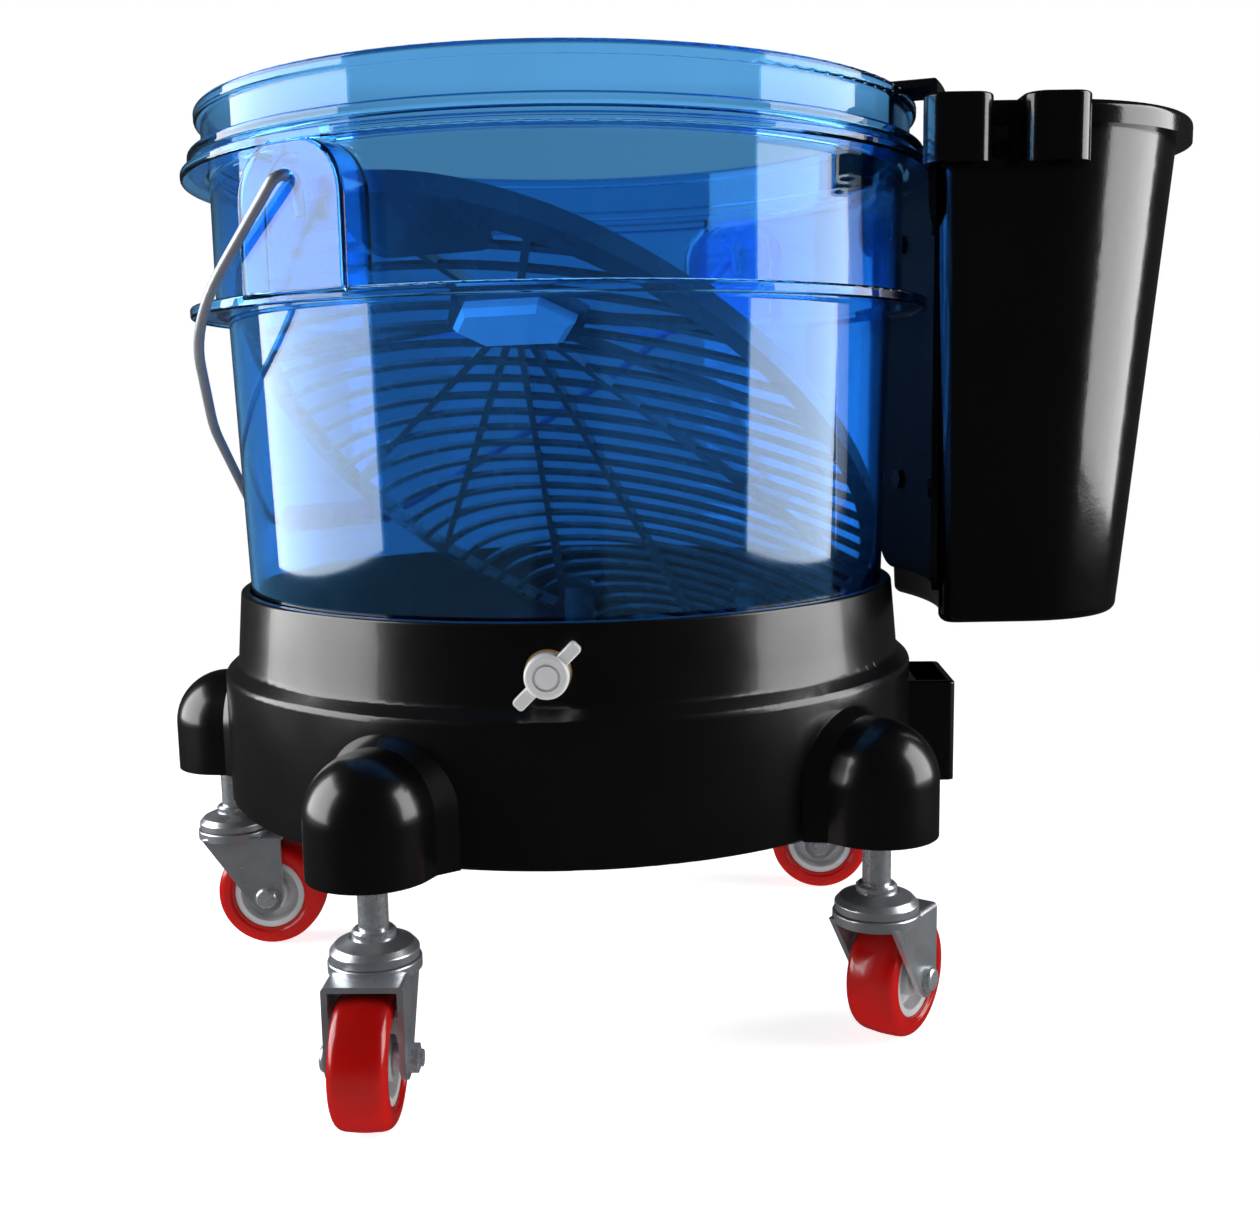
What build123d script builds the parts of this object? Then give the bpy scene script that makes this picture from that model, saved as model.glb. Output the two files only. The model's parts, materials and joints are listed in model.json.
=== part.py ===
from build123d import *
import os
from math import cos, radians, sin, sqrt, tan

# Car wash pail standing in a five-castor dolly, with a bail, a sloping wash screen and a side caddy.
# Millimetres. +Z is up, the floor is z = 0 and the dolly's axis is the Z axis.
# Bearings run from the front, -Y, towards +X. A piece made in a radial frame has +X pointing outwards.

# Clearances
fit_gap = 0.05
running_gap = 0.08
seat_gap = 0.3
hook_gap = 3.2

# Dolly shell
deck_top_z = 97.0
deck_thickness = 4.0
deck_hole_r = 50.0
dolly_wall = 3.5
skirt_r = 152.0
skirt_bottom_z = 87.0
shoulder_z = 141.0
shoulder_rise = 5.0
shoulder_round = 3.5
collar_foot_r = 146.3
collar_top_r = 143.7
collar_top_z = 176.0
dolly_edge_round = 1.4
deck_rib_thickness = 3.0

# Castor pods
castor_count = 5
castor_circle_r = 163.8
first_castor_bearing = -26.6
pod_r = 23.6
pod_dome_z = 108.4
pod_wall = 3.0
pod_boss_r = 10.5
pod_flare = 5.0
pod_flare_length = 8.0

# Accessory socket on the dolly's side
socket_bearing = 84.0
socket_reach = 170.0
socket_width = 50.0
socket_top_z = 131.0
socket_wall = 3.0
socket_edge_round = 1.2

# Castors: wheel, fork, swivel head and stem
castor_headings = (-4.0, 141.0, -100.0, 150.0, 87.0)
wheel_r = 25.0
tyre_width = 21.0
tyre_shoulder = 5.0
hub_r = 16.5
hub_width = 18.0
hub_web = 7.0
hub_rim = 3.0
hub_boss_r = 8.0
bush_r = 5.0
axle_r = 3.0
axle_head_r = 5.0
axle_head_height = 2.8
axle_head_round = 1.9
axle_nut_width = 9.0
axle_nut_height = 3.6
axle_end = 1.4
castor_trail = 17.0
fork_sheet = 2.2
fork_side_gap = 1.7
fork_top_gap = 2.0
fork_leg_r = 7.5
fork_front = 12.0
fork_bend_r = 1.8
head_r = 17.0
race_lip_width = 3.5
race_lip_height = 2.0
race_lip_round = 0.9
ball_r = 1.6
ball_circle_r = 9.6
ball_count = 12
cap_wall = 2.0
cap_rise = 6.4
cap_inset = 0.8
cap_side_height = 1.9
cap_slope_height = 2.2
cap_round = 1.0
stem_r = 5.5
stem_collar_r = 8.0
stem_collar_height = 3.0
stem_collar_chamfer = 0.9
stem_grip = 23.0
stem_chamfer = 1.4
kingpin_r = 4.5
rivet_head_r = 6.0
rivet_head_height = 2.4
rivet_head_round = 1.4
sleeve_wall = 2.0

# Clamp screw in the collar
clamp_bearing = -3.2
clamp_z = 158.6
clamp_stud_r = 4.0
clamp_bush_wall = 2.0
clamp_flange_r = 8.5
clamp_flange_thickness = 1.4
clamp_tip_r = 3.6
clamp_tip_length = 1.8
clamp_tip_round = 0.5
clamp_knob_r = 8.0
clamp_knob_depth = 7.0
clamp_knob_round = 1.4
clamp_ring_r = 5.0
clamp_ring_width = 1.0
clamp_ring_depth = 0.7
clamp_knob_standoff = 2.0
clamp_bar_length = 31.0
clamp_bar_width = 4.8
clamp_bar_depth = 4.0
clamp_bar_round = 1.4
clamp_bar_edge_round = 0.8
clamp_bar_tilt = 45.0

# Pail
pail_base_r = 137.0
pail_wall_slope = 0.0288
pail_wall = 2.4
pail_floor = 3.0
pail_foot = 3.0
pail_height = 275.0
lower_ring_height = 192.5
lower_ring_r = 157.7
ring_sheet = 2.6
ring_lip = 4.6
ring_round = 1.1
upper_wall_r = 147.2
band_r = 149.6
rim_r = 152.2
rim_bead = 4.7
rim_round = 1.4
upper_ring_r = 155.5
upper_ring_drop = 21.5
upper_ring_depth = 4.2
middle_ring_r = 158.6
middle_ring_drop = 28.0
middle_ring_depth = 3.8
flange_round = 1.1

# Bail ears on the pail
ear_bearing = -37.0
ear_face = 158.4
ear_width = 53.0
ear_wall = 2.5
ear_overlap = 1.0
ear_corner_r = 20.0
ear_edge_r = 2.0
bail_pivot_drop = 11.0
bail_hole_r = 2.35

# Bail wire and grip
bail_wire_r = 2.0
bail_rest_tilt = 42.0
bail_tail = 14.0
bail_tail_turn = 55.0
bail_tail_gap = 3.6
bail_leg_gap = 4.1
bail_end_bend_r = 4.4
bail_hip_offset = -3.0
bail_hip_reach = 71.0
bail_elbow_inset = 44.0
bail_elbow_reach = 131.0
bail_grip_gap = 2.2
bail_grip_bend_half = 49.0
bail_hip_r = 95.0
bail_elbow_r = 150.0
bail_grip_bend_r = 20.0
grip_length = 74.0
grip_r = 6.5
grip_bore_r = 2.4
grip_round = 1.6
grip_groove = 0.8
grip_groove_count = 7

# Sloping wash screen in the pail
screen_height = 125.8
screen_tilt = 36.7
screen_high_bearing = -31.9
screen_wall_gap = 1.0
screen_band = 7.0
screen_band_depth = 6.0
screen_slat = 3.0
screen_slat_depth = 2.0
screen_slat_pitch = 11.5
screen_slat_centre = (14.0, -185.3)
screen_spoke = 3.0
screen_spoke_depth = 3.6
screen_hub = (-31.0, 104.7)
screen_hub_margin = 4.0
screen_spoke_bearings = (-51.0, -67.0, -84.0, -114.0, -143.0, -36.0, -172.0, -8.0, 60.0, 124.0)
screen_panel = (-16.0, 156.7)
screen_panel_size = (60.0, 30.0)
screen_panel_r = 10.0
screen_leg_r = 8.0
screen_leg_spread = 50.0
screen_leg_drop = 111.3
badge_length = 56.0
badge_width = 22.0
badge_bevel = 11.0
badge_thickness = 6.0
badge_chamfer = 2.4

# Side caddy
caddy_bearing = 88.0
tub_reach = 264.0
tub_half_width = 74.0
tub_outer_corner_r = 71.0
tub_inner_corner_r = 7.0
tub_top_z = 365.0
tub_height = 206.0
tub_taper = 5.4
tub_wall = 2.6
tub_floor = 3.0
tub_lip_out = 5.5
tub_lip_height = 9.0
tub_lip_round = 3.0
tub_foot_round = 4.0
hanger_sheet = 2.4
hanger_half_angle = 20.0
hanger_height = 178.0
hanger_band_half_angle = 25.0
hanger_band_height = 30.0
hanger_top_drop = 15.0
hanger_corner_r = 12.0
hook_half_angle = 20.0
hook_width = 26.0
hook_bridge = 3.0
hook_round = 1.35
hook_tab = 22.0
hook_tab_sheet = 2.6
rack_x = 172.0
rack_length = 64.0
rack_height = 25.0
rack_back = 3.0
rack_lobe_width = 26.0
rack_lobe_depth = 17.0
rack_lobe_spacing = 37.0
rack_lobe_r = 8.0
rack_edge_r = 1.2
rack_bore_r = 6.5
rack_screw_r = 1.75
rack_screw_head_r = 3.5
rack_screw_head_height = 1.8
rack_screw_head_round = 1.1
rack_screw_length = 8.0
rack_screw_spacing = 12.0
caddy_screw_r = 2.5
caddy_screw_head_r = 4.8
caddy_screw_head_height = 2.4
caddy_screw_head_round = 1.4
caddy_nut_width = 8.0
caddy_nut_height = 2.6
caddy_screw_half_angle = 13.0
caddy_screw_drops = (42.0, 150.0)

# Worked out from the sizes above
skirt_inner_r = skirt_r - dolly_wall
castor_step = 360 / castor_count
castor_bearings = [first_castor_bearing + castor_step * k for k in range(castor_count)]
pail_base_z = deck_top_z
pail_floor_z = pail_base_z + pail_foot + pail_floor
pail_top_z = pail_base_z + pail_height
lower_ring_z = pail_base_z + lower_ring_height
fin_z = lower_ring_z + (ring_lip - ring_sheet) / 2
upper_ring_z = pail_top_z - upper_ring_drop
middle_ring_z = pail_top_z - middle_ring_drop
bail_pivot_z = middle_ring_z - bail_pivot_drop
crown_z = 2 * wheel_r + fork_top_gap
crown_top_z = crown_z + fork_sheet
fork_inner_y = tyre_width / 2 + fork_side_gap
fork_outer_y = fork_inner_y + fork_sheet
ball_z = crown_top_z + running_gap + ball_r
cap_z = ball_z + ball_r + running_gap
cap_top_z = cap_z + cap_rise
stem_top_z = skirt_bottom_z + stem_grip
sleeve_r = stem_r + fit_gap + sleeve_wall
sleeve_top_z = stem_top_z + sleeve_wall
tub_bottom_z = tub_top_z - tub_height
hanger_inner_r = middle_ring_r + hook_gap
hanger_outer_r = hanger_inner_r + hanger_sheet
hanger_top_z = tub_top_z - hanger_top_drop
rack_face_y = -tub_half_width - rack_back
tub_inner_r = hanger_outer_r + fit_gap


def to_bearing(bearing):
    """Turn a radial frame so that its +X points along a bearing."""
    return Rot(0, 0, bearing - 90)


def bearing_vector(bearing):
    """Unit vector along a bearing in the floor plane."""
    return Vector(sin(radians(bearing)), -cos(radians(bearing)), 0)


def upright(x, y, z0, z1):
    """Place for a solid centred on (x, y) that stands between two heights."""
    return Pos(x, y, (z0 + z1) / 2)


def post(r, z0, z1, x=0, y=0):
    """Upright cylinder between two heights."""
    return upright(x, y, z0, z1) * Cylinder(r, z1 - z0)


def block(x0, x1, y0, y1, z0, z1):
    """Box between two corners."""
    return Pos((x0 + x1) / 2, (y0 + y1) / 2, (z0 + z1) / 2) * Box(x1 - x0, y1 - y0, z1 - z0)


def section(*points):
    """Flat closed outline through points of radius and height."""
    return make_face(Polyline(*points, close=True))


def strip(r0, r1, z0, z1, corner=0.0):
    """Rectangular piece of a turned section, with rounded corners if asked."""
    face = Rectangle(r1 - r0, z1 - z0) if corner == 0 else RectangleRounded(r1 - r0, z1 - z0, corner)
    return Pos((r0 + r1) / 2, (z0 + z1) / 2) * face


def nearest_corners(face, points):
    """Corners of an outline that lie closest to the given points."""
    return [face.vertices().sort_by_distance(Vector(*p))[0] for p in points]


def turned(profile):
    """Solid of revolution about Z of a section of radius and height."""
    return revolve(Plane.XZ * profile, Axis.Z)


def along_x(r, x0, x1, z=0.0):
    """Cylinder along X at a height."""
    return Pos((x0 + x1) / 2, 0, z) * Rot(0, 90, 0) * Cylinder(r, x1 - x0)


def along_y(r, y0, y1, x=0.0, z=0.0):
    """Cylinder along Y at a place in the XZ plane."""
    return Pos(x, (y0 + y1) / 2, z) * Rot(90, 0, 0) * Cylinder(r, y1 - y0)


def hexagon_bar(width, x0, x1):
    """Hexagonal bar along X with a given width across its flats."""
    outline = RegularPolygon(width / 2, 6, major_radius=False)
    return extrude(Plane.YZ.offset(x0) * outline, x1 - x0)


def collar_r(z):
    """Outer radius of the dolly's collar at a height."""
    foot_z = shoulder_z + shoulder_rise
    return collar_foot_r + (collar_top_r - collar_foot_r) * (z - foot_z) / (collar_top_z - foot_z)


def pail_r(z):
    """Outer radius of the pail's lower wall at a height."""
    return pail_base_r + pail_wall_slope * (z - pail_base_z)


# Dolly


def dolly_ring():
    """Turned collar, shoulder and skirt with the deck that the pail stands on."""
    foot_z = shoulder_z + shoulder_rise
    wall = section(
        (collar_top_r - dolly_wall, collar_top_z),
        (collar_top_r, collar_top_z),
        (collar_foot_r, foot_z),
        (skirt_r, shoulder_z),
        (skirt_r, skirt_bottom_z),
        (skirt_inner_r, skirt_bottom_z),
        (skirt_inner_r, shoulder_z - dolly_wall / 2),
        (collar_foot_r - dolly_wall, foot_z - dolly_wall / 2),
    )
    shoulder = [(skirt_r, shoulder_z), (collar_foot_r, foot_z)]
    wall = fillet(nearest_corners(wall, shoulder), shoulder_round)
    edges = [(collar_top_r, collar_top_z), (skirt_r, skirt_bottom_z)]
    wall = fillet(nearest_corners(wall, edges), dolly_edge_round)
    deck = strip(deck_hole_r, skirt_inner_r + dolly_wall / 2, deck_top_z - deck_thickness, deck_top_z)
    hub = strip(deck_hole_r, deck_hole_r + dolly_wall, skirt_bottom_z, deck_top_z)
    return turned(wall + deck + hub)


def arch(r):
    """Arched section of a pod in the plane across its radius."""
    leg = pod_dome_z - skirt_bottom_z
    return Pos(0, pod_dome_z) * Circle(r) + Pos(0, pod_dome_z - leg / 2) * Rectangle(2 * r, leg)


def pod_form(r):
    """Upright turned form of a pod: a straight side with a round dome."""
    dome = Pos(0, pod_dome_z) * Circle(r) & strip(0, r, pod_dome_z, pod_dome_z + r)
    return Pos(castor_circle_r, 0, 0) * turned(strip(0, r, skirt_bottom_z, pod_dome_z) + dome)


def castor_pod():
    """Domed pod with a flared neck and a stem boss inside, in its radial frame."""
    neck_start = skirt_inner_r - dolly_wall
    flare_start = sqrt(skirt_r**2 - (pod_r + pod_flare) ** 2)
    flare_ends = [
        Plane.YZ.offset(flare_start) * arch(pod_r + pod_flare),
        Plane.YZ.offset(flare_start + pod_flare_length) * arch(pod_r),
    ]
    body = pod_form(pod_r)
    body += extrude(Plane.YZ.offset(neck_start) * arch(pod_r), castor_circle_r - neck_start)
    body += loft(flare_ends, ruled=True)
    body &= block(0, 2 * castor_circle_r, -skirt_r, skirt_r, skirt_bottom_z, collar_top_z)
    body -= post(skirt_inner_r, 0, collar_top_z)
    hollow = pod_form(pod_r - pod_wall) - post(pod_boss_r, 0, collar_top_z, castor_circle_r)
    hollow -= post(skirt_r, 0, collar_top_z)
    bore = post(sleeve_r + fit_gap, 0, sleeve_top_z + fit_gap, castor_circle_r)
    return body - hollow - bore


def accessory_socket():
    """Open-topped rectangular pocket on the skirt, in its radial frame."""
    half = socket_width / 2
    body = block(skirt_inner_r - dolly_wall, socket_reach, -half, half, skirt_bottom_z, socket_top_z)
    outer = body.edges().filter_by(Axis.Z).group_by(Axis.X)[-1]
    body = fillet(outer, socket_wall)
    body = fillet(body.faces().sort_by(Axis.Z)[-1].outer_wire().edges(), socket_edge_round)
    pocket = block(
        skirt_r + socket_wall / 2,
        socket_reach - socket_wall,
        socket_wall - half,
        half - socket_wall,
        skirt_bottom_z + socket_wall,
        socket_top_z,
    )
    return body - pocket - post(skirt_inner_r, 0, collar_top_z)


def dolly_shell():
    """Black dolly moulding with pods, socket, ribs and the clamp screw's hole."""
    shell = dolly_ring()
    pod = castor_pod()
    for bearing in castor_bearings:
        shell += to_bearing(bearing) * pod
    shell += to_bearing(socket_bearing) * accessory_socket()
    rib_half = deck_rib_thickness / 2
    rib = block(deck_hole_r + dolly_wall / 2, skirt_inner_r + dolly_wall / 2, -rib_half, rib_half,
                skirt_bottom_z, deck_top_z - deck_thickness / 2)
    for bearing in castor_bearings:
        shell += to_bearing(bearing + castor_step / 2) * rib
    hole = along_x(clamp_stud_r + running_gap + clamp_bush_wall + fit_gap, skirt_r / 2, 2 * skirt_r, clamp_z)
    return shell - to_bearing(clamp_bearing) * hole


# Castors, in a frame with the swivel axis on Z and the wheel trailing along +X


def stem_sleeve():
    """Blind sleeve pressed into a pod's boss to grip the stem."""
    return post(sleeve_r, skirt_bottom_z, sleeve_top_z) - post(stem_r + fit_gap, 0, stem_top_z + fit_gap)


def castor_stem():
    """Stem, collar, kingpin and riveted end in one turned piece."""
    stem = post(stem_r, cap_z + fit_gap, stem_top_z)
    stem = chamfer(stem.edges().sort_by(Axis.Z)[-1], stem_chamfer)
    collar = post(stem_collar_r, cap_top_z, cap_top_z + stem_collar_height)
    collar = chamfer(collar.edges().sort_by(Axis.Z)[-1], stem_collar_chamfer)
    rivet_top = crown_z - running_gap
    pin = post(kingpin_r, rivet_top - rivet_head_height, cap_z + fit_gap)
    rivet = post(rivet_head_r, rivet_top - rivet_head_height, rivet_top)
    rivet = fillet(rivet.edges().sort_by(Axis.Z)[0], rivet_head_round)
    return stem + collar + pin + rivet


def race_cap():
    """Domed upper race that sits on the balls."""
    skirt_z = crown_top_z + race_lip_height + seat_gap
    rim = head_r - cap_inset
    side_z = cap_z + cap_side_height
    slope_z = side_z + cap_slope_height
    profile = section(
        (stem_r + fit_gap, cap_z),
        (rim - cap_wall, cap_z),
        (rim - cap_wall, skirt_z),
        (rim, skirt_z),
        (rim, side_z),
        (rim - cap_wall, slope_z),
        (stem_collar_r + cap_wall / 2, cap_top_z),
        (stem_r + fit_gap, cap_top_z),
    )
    corners = [(rim, side_z), (rim - cap_wall, slope_z)]
    return turned(fillet(nearest_corners(profile, corners), cap_round))


def race_balls():
    """Ring of balls between the cap and the fork's crown."""
    ball = Pos(ball_circle_r, 0, ball_z) * Sphere(ball_r)
    return [Rot(0, 0, 360 * k / ball_count) * ball for k in range(ball_count)]


def castor_fork():
    """Pressed steel fork: round crown with a raised race and two legs to the axle."""
    crown = post(head_r, crown_z, crown_top_z)
    crown += block(0, castor_trail + fork_leg_r, -fork_outer_y, fork_outer_y, crown_z, crown_top_z)
    leg_top = crown_z + fork_sheet / 2
    leg_end = Pos(castor_trail, wheel_r) * Circle(fork_leg_r)
    leg_root = Line((-fork_front, leg_top), (castor_trail + fork_leg_r, leg_top))
    leg_face = make_hull(leg_end.edges() + leg_root.edges())
    leg = extrude(Plane.XZ.offset(fork_inner_y) * leg_face, fork_sheet)
    crown += leg + mirror(leg, Plane.XZ)
    bend = crown.edges().filter_by(Axis.X).filter_by_position(Axis.Z, crown_top_z, crown_top_z)
    crown = fillet(bend, fork_bend_r)
    lip = post(head_r, crown_top_z - fork_sheet / 2, crown_top_z + race_lip_height)
    lip = fillet(lip.edges().sort_by(Axis.Z)[-1], race_lip_round)
    lip -= post(head_r - race_lip_width, 0, cap_top_z)
    crown += lip
    crown -= post(kingpin_r + running_gap, 0, cap_top_z)
    return crown - along_y(axle_r + fit_gap, -2 * fork_outer_y, 2 * fork_outer_y, castor_trail, wheel_r)


def castor_axle():
    """Domed axle bolt and its hexagonal nut."""
    head = along_y(axle_head_r, -fork_outer_y - axle_head_height, -fork_outer_y, castor_trail, wheel_r)
    head = fillet(head.edges().sort_by(Axis.Y)[0], axle_head_round)
    bolt_end = fork_outer_y + axle_nut_height + axle_end
    bolt = head + along_y(axle_r, -fork_outer_y, bolt_end, castor_trail, wheel_r)
    nut = Rot(0, 0, 90) * hexagon_bar(axle_nut_width, fork_outer_y, fork_outer_y + axle_nut_height)
    nut = Pos(castor_trail, 0, wheel_r) * nut
    nut -= along_y(axle_r + fit_gap, 0, 2 * bolt_end, castor_trail, wheel_r)
    return [bolt, nut]


def wheel_turned(profile):
    """Solid of revolution about the axle of a section of radius and width."""
    return Pos(castor_trail, 0, wheel_r) * Rot(90, 0, 0) * turned(profile)


def wheel_bush():
    """Steel tube that the wheel turns on."""
    half = fork_inner_y - seat_gap
    return wheel_turned(strip(axle_r + running_gap, bush_r, -half, half))


def wheel_hub():
    """Wheel core with a thin web between its boss and its rim."""
    half = hub_width / 2
    inner = bush_r + fit_gap
    boss = strip(inner, hub_boss_r, -half, half)
    web = strip(inner, hub_r, -hub_web / 2, hub_web / 2)
    rim = strip(hub_r - hub_rim, hub_r, -half, half)
    return wheel_turned(boss + web + rim)


def wheel_tyre():
    """Moulded tread with rounded shoulders."""
    half = tyre_width / 2
    face = strip(hub_r + fit_gap, wheel_r, -half, half)
    face = fillet(nearest_corners(face, [(wheel_r, half), (wheel_r, -half)]), tyre_shoulder)
    return wheel_turned(face)


def castor_place(k):
    """Frame of one castor, turned to its heading."""
    spot = bearing_vector(castor_bearings[k]) * castor_circle_r
    return Pos(spot.X, spot.Y, 0) * to_bearing(castor_headings[k])


# Clamp screw, in its radial frame


def clamp_bush():
    """Flanged threaded bush in the collar."""
    bore_r = clamp_stud_r + running_gap
    start = collar_r(clamp_z) - dolly_wall - fit_gap
    flange_start = collar_r(clamp_z - clamp_flange_r) + fit_gap
    bush = along_x(bore_r + clamp_bush_wall, start, flange_start, clamp_z)
    bush += along_x(clamp_flange_r, flange_start, flange_start + clamp_flange_thickness, clamp_z)
    return bush - along_x(bore_r, 0, 2 * skirt_r, clamp_z)


def clamp_tip():
    """Swivelling nose that bears on the pail."""
    start = pail_r(clamp_z + clamp_tip_r) + seat_gap
    nose = along_x(clamp_tip_r, start, start + clamp_tip_length, clamp_z)
    return fillet(nose.edges().sort_by(Axis.X)[0], clamp_tip_round)


def clamp_knob_x():
    """Distance of the knob's inner face from the dolly's axis."""
    return collar_r(clamp_z - clamp_flange_r) + fit_gap + clamp_flange_thickness + clamp_knob_standoff


def clamp_stud():
    """Threaded stud moulded into the knob."""
    start = pail_r(clamp_z + clamp_tip_r) + seat_gap + clamp_tip_length
    return along_x(clamp_stud_r, start, clamp_knob_x() + clamp_knob_depth / 2, clamp_z)


def clamp_knob():
    """Round knob with a ring on its face and a cross bar."""
    face_x = clamp_knob_x()
    front_x = face_x + clamp_knob_depth
    knob = along_x(clamp_knob_r, face_x, front_x, clamp_z)
    middle_x = face_x + clamp_knob_depth / 2
    knob = fillet(knob.edges().filter_by(GeomType.CIRCLE), clamp_knob_round)
    groove = along_x(clamp_ring_r, front_x - clamp_ring_depth, front_x + clamp_ring_depth, clamp_z)
    groove -= along_x(clamp_ring_r - clamp_ring_width, 0, 2 * skirt_r, clamp_z)
    bar = Box(clamp_bar_depth, clamp_bar_length, clamp_bar_width)
    bar = fillet(bar.edges().filter_by(Axis.X), clamp_bar_round)
    bar = fillet(bar.faces().sort_by(Axis.X)[-1].edges(), clamp_bar_edge_round)
    bar = Pos(middle_x, 0, clamp_z) * Rot(clamp_bar_tilt, 0, 0) * bar
    socket = along_x(clamp_stud_r + fit_gap, 0, middle_x + fit_gap, clamp_z)
    return knob - groove + bar - socket


# Pail


def flange(r0, r1, z0, z1):
    """Section of a thin ring on the pail's wall, with its outer corners rounded."""
    ring = strip(r0, r1, z0, z1)
    return fillet(ring.vertices().group_by(Axis.X)[-1], flange_round)


def pail_body():
    """Turned pail with a foot ring, three outer rings and a band under its rim bead."""
    fin_top = fin_z + ring_sheet
    inner = pail_wall
    lower = section(
        (pail_r(pail_base_z), pail_base_z),
        (pail_r(fin_top), fin_top),
        (pail_r(fin_top) - inner, fin_top),
        (pail_r(pail_base_z) - inner, pail_base_z),
    )
    floor_top = pail_floor_z
    floor = strip(0, pail_r(floor_top) - inner / 2, floor_top - pail_floor, floor_top)
    fin = strip(pail_r(fin_z) - inner, lower_ring_r - ring_lip / 4, fin_z, fin_top)
    lip = strip(lower_ring_r - ring_lip / 2, lower_ring_r, lower_ring_z, lower_ring_z + ring_lip, ring_round)
    middle_top = middle_ring_z + middle_ring_depth
    upper = strip(upper_wall_r - inner, upper_wall_r, fin_z, middle_top)
    band = strip(band_r - inner, band_r, middle_ring_z, pail_top_z - rim_bead / 2)
    bead = strip(band_r - inner, rim_r, pail_top_z - rim_bead, pail_top_z, rim_round)
    middle_ring = flange(upper_wall_r - inner / 2, middle_ring_r, middle_ring_z, middle_top)
    upper_ring = flange(band_r - inner / 2, upper_ring_r, upper_ring_z, upper_ring_z + upper_ring_depth)
    return turned(lower + floor + fin + lip + upper + band + bead + middle_ring + upper_ring)


def ear_outline(inset):
    """Front outline of an ear, with round upper corners."""
    half = ear_width / 2 - inset
    bottom = fin_z + ring_sheet / 2 + inset
    top = middle_ring_z + ear_overlap - inset
    face = Pos(0, (bottom + top) / 2) * Rectangle(2 * half, top - bottom)
    return fillet(face.vertices().group_by(Axis.Y)[-1], ear_corner_r - inset)


def pail_ear():
    """Hollow box that carries one end of the bail, in its radial frame."""
    box = extrude(Plane.YZ.offset(upper_wall_r / 2) * ear_outline(0.0), ear_face - upper_wall_r / 2)
    box = fillet(box.faces().sort_by(Axis.X)[-1].edges(), ear_edge_r)
    box -= post(upper_wall_r - pail_wall / 2, 0, pail_top_z)
    reach = ear_face - ear_wall
    cavity = extrude(Plane.YZ * ear_outline(ear_wall), reach)
    cavity -= post(upper_wall_r, 0, pail_top_z)
    return box - cavity - along_x(bail_hole_r, upper_wall_r, 2 * ear_face, bail_pivot_z)


def tail_slot():
    """Slot through the middle ring, over an ear, that the bail's tail swings through."""
    half = bail_tail + bail_wire_r
    slot = block(0, ear_face - ear_wall, -half, half, bail_pivot_z, upper_ring_z)
    return slot - post(band_r, 0, pail_top_z)


def pail_shell():
    """Translucent pail with its two bail ears."""
    shell = pail_body()
    ear = pail_ear()
    for bearing in (ear_bearing, ear_bearing + 180):
        shell += to_bearing(bearing) * ear
        shell -= to_bearing(bearing) * tail_slot()
    return shell


# Bail, in a plane through the ears' holes


def bail_plane():
    """Plane of the bail at rest: x along the ears' axis, y down the slope of the bail."""
    across = bearing_vector(ear_bearing)
    out = bearing_vector(ear_bearing - 90)
    tilt = radians(bail_rest_tilt)
    down = out * cos(tilt) - Vector(0, 0, sin(tilt))
    return Plane(origin=(0, 0, bail_pivot_z), x_dir=across, z_dir=across.cross(down))


def bail_reach():
    """Reach from the ears' holes to the grip's axis that leaves the grip just clear of the pail."""
    tilt = radians(bail_rest_tilt)
    return (pail_r(bail_pivot_z) + grip_r + bail_grip_gap) / (cos(tilt) + pail_wall_slope * sin(tilt))


def bail_path():
    """Centre line of the bail wire, from one tail to the other."""
    tail = ear_face - ear_wall - bail_tail_gap
    tail_down = bail_tail * cos(radians(bail_tail_turn))
    tail_across = bail_tail * sin(radians(bail_tail_turn))
    leg = ear_face + bail_leg_gap
    hip = leg + bail_hip_offset
    side = [
        (tail, tail_down, tail_across),
        (tail, 0, 0),
        (leg, 0, 0),
        (hip, bail_hip_reach, 0),
        (hip - bail_elbow_inset, bail_elbow_reach, 0),
        (bail_grip_bend_half, bail_reach(), 0),
    ]
    radii = [bail_end_bend_r, bail_end_bend_r, bail_hip_r, bail_elbow_r, bail_grip_bend_r]
    points = side + [(-x, y, z) for x, y, z in reversed(side)]
    return FilletPolyline(*points, radius=radii + radii[::-1])


def bail_wire():
    """Bent steel wire with its tails hooked through the ears."""
    path = bail_plane() * bail_path()
    start = Plane(origin=path @ 0, z_dir=path % 0)
    return sweep(start * Circle(bail_wire_r), path=path)


def bail_grip():
    """Grooved plastic sleeve on the straight middle of the bail."""
    half = grip_length / 2
    profile = strip(grip_bore_r, grip_r, -half, half, grip_round)
    step = grip_length / (grip_groove_count + 1)
    for k in range(grip_groove_count):
        profile -= Pos(grip_r + grip_groove, step * (k + 1) - half) * Circle(2 * grip_groove)
    plane = bail_plane()
    middle = plane.origin + plane.y_dir * bail_reach()
    return Plane(origin=middle, x_dir=plane.y_dir, z_dir=plane.x_dir) * turned(profile)


# Sloping wash screen


def screen_plane():
    """Plane of the screen's underside: x across the slope, y up it."""
    high = bearing_vector(screen_high_bearing)
    tilt = radians(screen_tilt)
    normal = Vector(0, 0, cos(tilt)) - high * sin(tilt)
    up = high * cos(tilt) + Vector(0, 0, sin(tilt))
    return Plane(origin=(0, 0, pail_base_z + screen_height), x_dir=up.cross(normal), z_dir=normal)


def screen_space():
    """Space inside the pail's lower wall that the screen fills, less its clearance."""
    low = pail_floor_z
    inset = pail_wall + screen_wall_gap
    top_r = pail_r(pail_top_z) - inset
    return turned(section((0, low), (pail_r(low) - inset, low), (top_r, pail_top_z), (0, pail_top_z)))


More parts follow.
